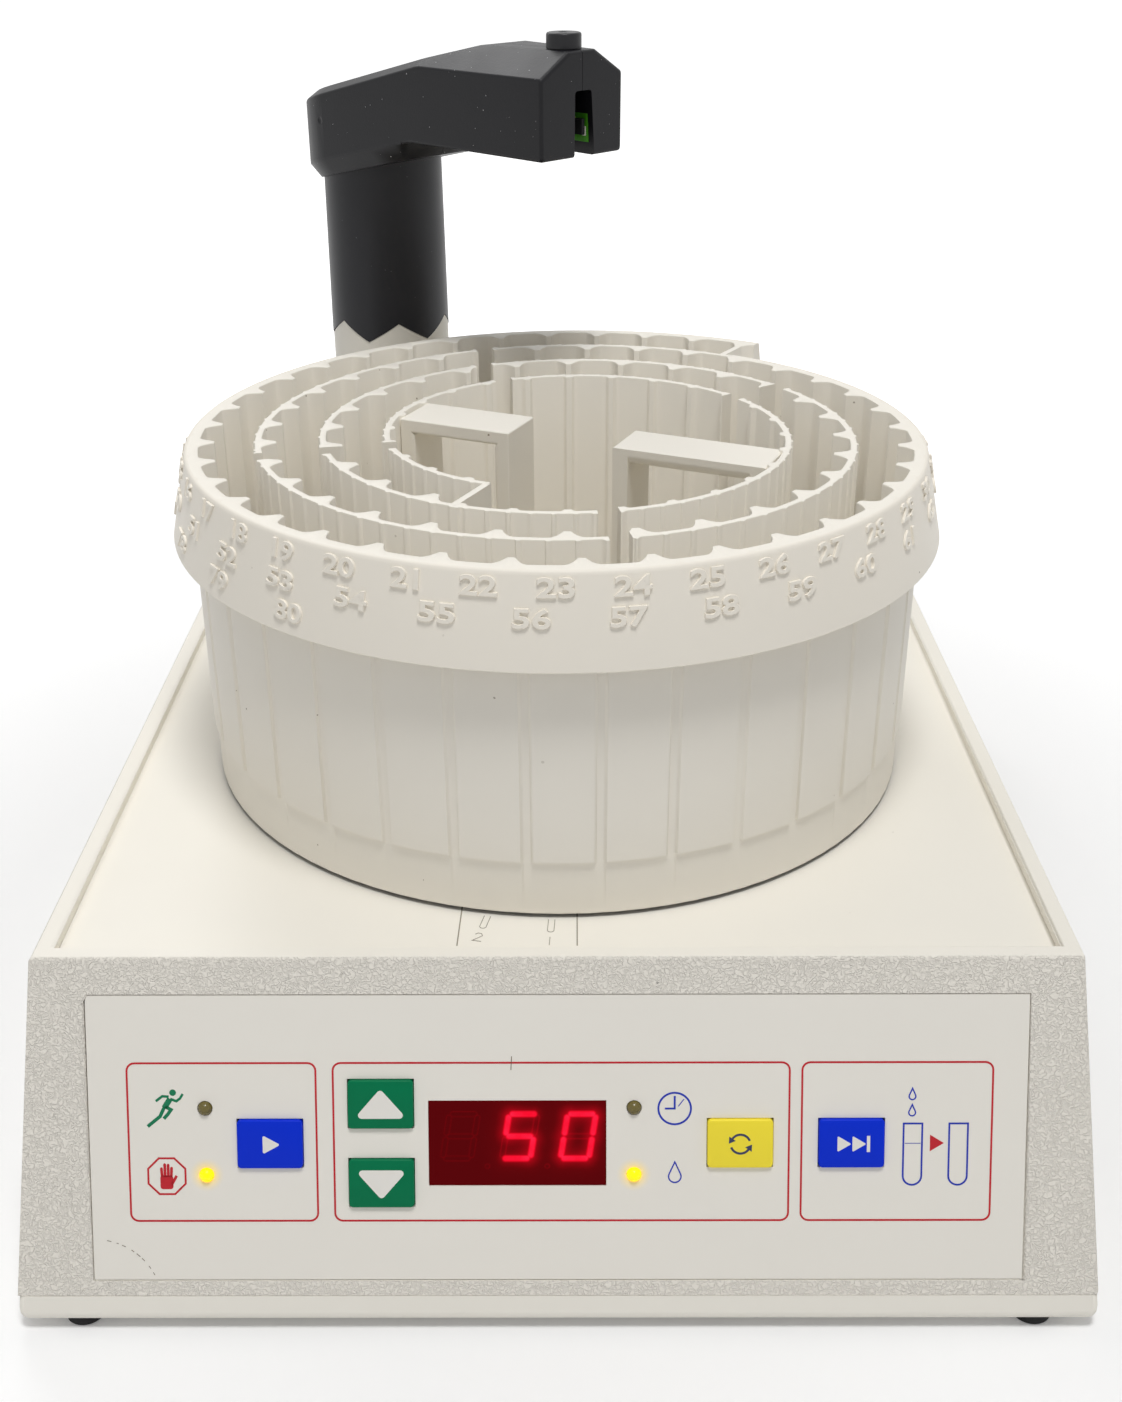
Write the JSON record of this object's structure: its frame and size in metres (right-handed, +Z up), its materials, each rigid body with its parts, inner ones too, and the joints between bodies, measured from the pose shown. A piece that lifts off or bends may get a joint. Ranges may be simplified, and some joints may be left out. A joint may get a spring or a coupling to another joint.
{
  "type": "fraction collector",
  "caption": "Benchtop fraction collector: sloped keypad base, turntable with a lift-off spiral tube rack, and a swinging drop-head arm on a toothed post.",
  "frame": {"origin": "middle of the base's footprint, on the bench", "axes": "+X to the right seen from the control panel, +Y from the panel to the back, +Z up"},
  "size_m": [0.236, 0.32, 0.2471],
  "materials": {
    "casing_cream": "fine leather grain, satin",
    "foot_rubber": "matt",
    "panel_print": "printed film, satin",
    "lens_red": "polished",
    "module_dark": "matt",
    "lamp_lit": "lit",
    "lamp_off": "gloss",
    "board_green": "solder mask",
    "steel": "zinc plated",
    "brass": "turned",
    "motor_metal": "drawn",
    "bracket_metal": "pressed",
    "housing_alu": "cast",
    "bush_plastic": "moulded acetal",
    "inlet_black": "moulded",
    "turntable_plastic": "moulded",
    "rack_beige": "moulded, satin",
    "arm_black": "fine texture",
    "key_blue": "satin",
    "key_green": "satin",
    "key_yellow": "satin"
  },
  "bodies": {
    "base": {"upper_casing": "casing_cream", "base_pan": "casing_cream", "feet": "foot_rubber", "foot_screws": "steel", "casing_screws": "steel", "front_panel": "panel_print", "display_lens": "lens_red", "display_module": "module_dark", "lit_lamps": "lamp_lit", "unlit_lamps": "lamp_off", "control_board": "board_green", "board_standoffs": "brass", "board_screws": "steel", "tactile_switches": "module_dark", "controller_chips": "module_dark", "drive_motor": "motor_metal", "motor_bracket": "bracket_metal", "motor_screws": "steel", "transformer": "motor_metal", "transformer_screws": "steel", "power_inlet": "inlet_black", "fuse_drawer": "inlet_black", "switch_frame": "inlet_black", "remote_socket": "inlet_black", "spindle_housing": "housing_alu", "spindle_bush": "bush_plastic", "post_housing": "housing_alu", "post_bearings": "bush_plastic", "housing_screws": "steel"},
    "turntable": {"turntable": "turntable_plastic", "drive_gear": "bush_plastic", "spindle_clip": "steel"},
    "pinion": {"motor_shaft": "steel", "drive_pinion": "brass"},
    "rack": {"rack_floor": "rack_beige", "rack_outer_wall": "rack_beige", "rack_second_wall": "rack_beige", "rack_third_wall": "rack_beige", "rack_collar": "rack_beige", "rack_handles": "rack_beige"},
    "post": {"arm_post": "rack_beige", "post_clip": "steel"},
    "arm": {"arm_column": "arm_black", "column_core": "arm_black", "arm_left_shell": "arm_black", "arm_right_shell": "arm_black", "arm_screws": "arm_black", "sensor_board": "board_green", "sensor_eyes": "module_dark"},
    "bush": {"tubing_bush": "arm_black"},
    "run_button": {"run_key": "key_blue"},
    "up_button": {"up_key": "key_green"},
    "down_button": {"down_key": "key_green"},
    "mode_button": {"mode_key": "key_yellow"},
    "advance_button": {"advance_key": "key_blue"},
    "rocker": {"power_rocker": "inlet_black"}
  },
  "joints": [
    {"name": "turntable_spin", "type": "hinge", "parent": "base", "child": "turntable", "pos_m": [0.0033, -0.02248, 0.0763], "axis": [0, 0, 1], "continuous": true},
    {"name": "pinion_spin", "type": "hinge", "parent": "base", "child": "pinion", "pos_m": [0.05238, -0.02248, 0.046], "axis": [0, 0, 1], "continuous": true},
    {"name": "rack_lift", "type": "slide", "parent": "turntable", "child": "rack", "axis": [0, 0, 1], "range_m": [0, 0.03]},
    {"name": "arm_swing", "type": "hinge", "parent": "base", "child": "post", "pos_m": [-0.0527, 0.09672, 0.076], "axis": [0, 0, 1], "range_deg": [-22, 60]},
    {"name": "arm_lift", "type": "slide", "parent": "post", "child": "arm", "axis": [0, 0, 1], "range_m": [0, 0.01]},
    {"name": "bush_lift", "type": "slide", "parent": "arm", "child": "bush", "axis": [0, 0, 1], "range_m": [0, 0.016]},
    {"name": "run_press", "type": "slide", "parent": "base", "child": "run_button", "axis": [0, 0.9354, -0.3535], "range_m": [0, 0.0006], "stiffness_N_per_m": 800, "springref_m": -0.0006},
    {"name": "up_press", "type": "slide", "parent": "base", "child": "up_button", "axis": [0, 0.9354, -0.3535], "range_m": [0, 0.0006], "stiffness_N_per_m": 800, "springref_m": -0.0006},
    {"name": "down_press", "type": "slide", "parent": "base", "child": "down_button", "axis": [0, 0.9354, -0.3535], "range_m": [0, 0.0006], "stiffness_N_per_m": 800, "springref_m": -0.0006},
    {"name": "mode_press", "type": "slide", "parent": "base", "child": "mode_button", "axis": [0, 0.9354, -0.3535], "range_m": [0, 0.0006], "stiffness_N_per_m": 800, "springref_m": -0.0006},
    {"name": "advance_press", "type": "slide", "parent": "base", "child": "advance_button", "axis": [0, 0.9354, -0.3535], "range_m": [0, 0.0006], "stiffness_N_per_m": 800, "springref_m": -0.0006},
    {"name": "rocker_tilt", "type": "hinge", "parent": "base", "child": "rocker", "pos_m": [0.03, 0.1534, 0.034], "axis": [1, 0, 0], "range_deg": [-16, 0]}
  ],
  "couplings": [
    {"joint": "pinion_spin", "follows": "turntable_spin", "ratio": -6}
  ]
}
